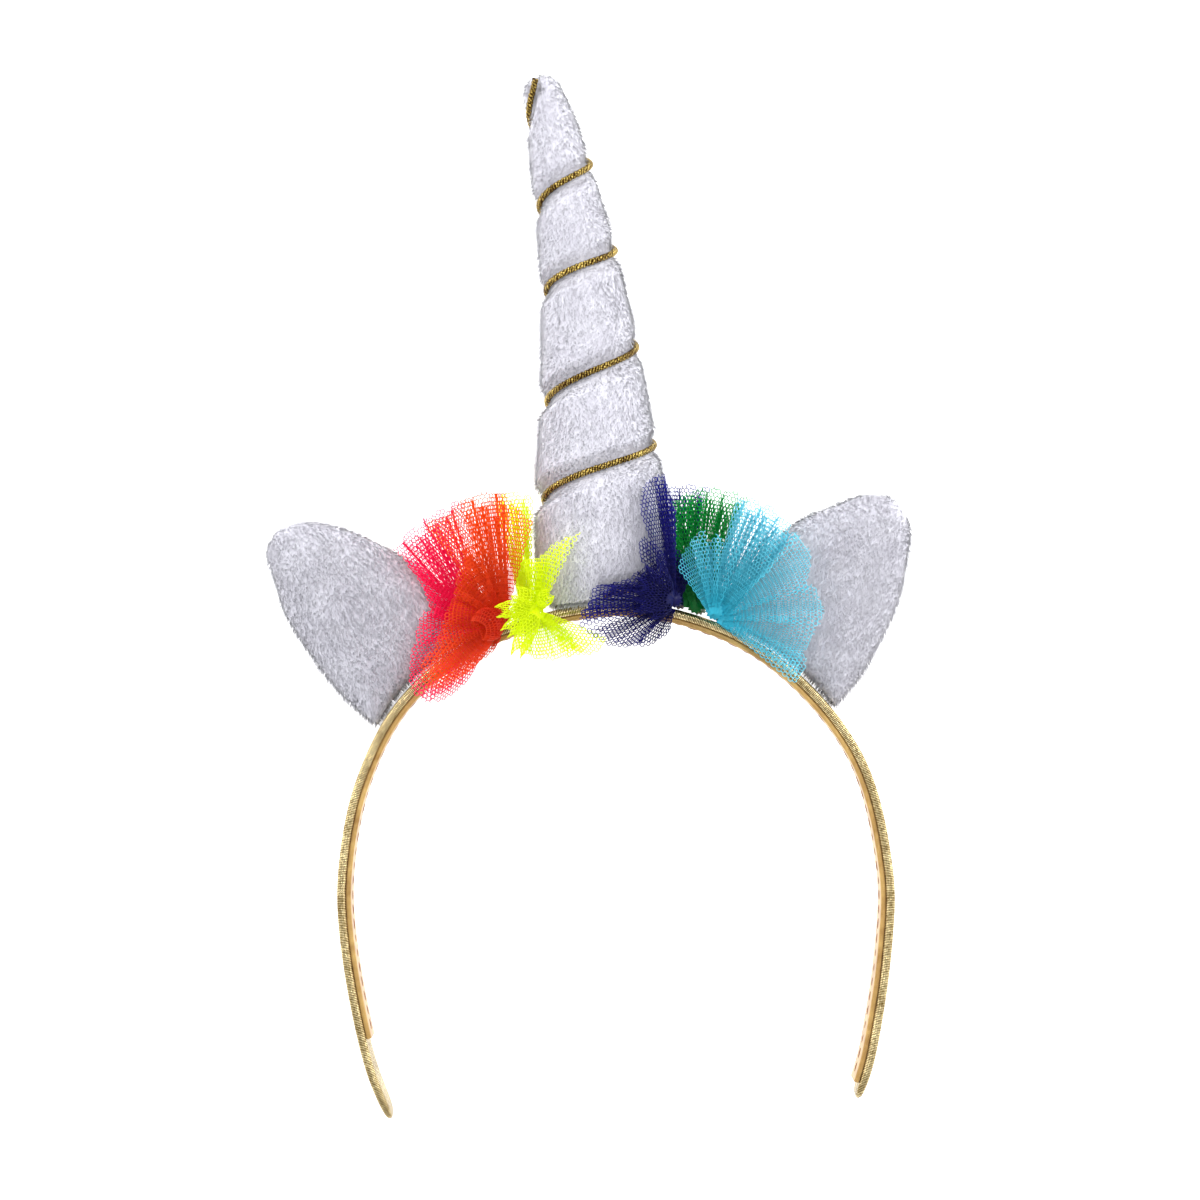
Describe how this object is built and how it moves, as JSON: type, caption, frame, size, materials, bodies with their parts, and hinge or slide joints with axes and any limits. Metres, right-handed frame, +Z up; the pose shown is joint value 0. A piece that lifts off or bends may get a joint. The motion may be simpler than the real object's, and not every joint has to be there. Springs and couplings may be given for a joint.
{
  "type": "unicorn horn headband",
  "caption": "Costume headband: a gold-covered springy hoop that carries a plush horn wound with gold cord, a pair of plush ears and gathered puffs of coloured tulle.",
  "frame": {"origin": "on the floor, under the middle of the footprint of the headband as it lies on its back", "axes": "+X to the wearer's left, seen as the right from the front; +Y from the leg tips to the tip of the horn; +Z up, out of the front of the headband"},
  "size_m": [0.1622, 0.2604, 0.0378],
  "materials": {
    "gold_lame": "satin",
    "lining_tape": "satin",
    "gold_cord": "satin",
    "white_plush": "matte",
    "pink_tulle": "matte",
    "orange_tulle": "matte",
    "yellow_tulle": "matte",
    "blue_tulle": "matte",
    "green_tulle": "matte",
    "aqua_tulle": "matte"
  },
  "bodies": {
    "root": {"band": "gold_lame", "band_lining": "lining_tape", "horn": "white_plush", "horn_cord": "gold_cord", "ear_left": "white_plush", "ear_right": "white_plush", "tulle_pink": "pink_tulle", "tulle_orange": "orange_tulle", "tulle_yellow": "yellow_tulle", "tulle_blue": "blue_tulle", "tulle_green": "green_tulle", "tulle_aqua": "aqua_tulle"}
  },
  "joints": []
}
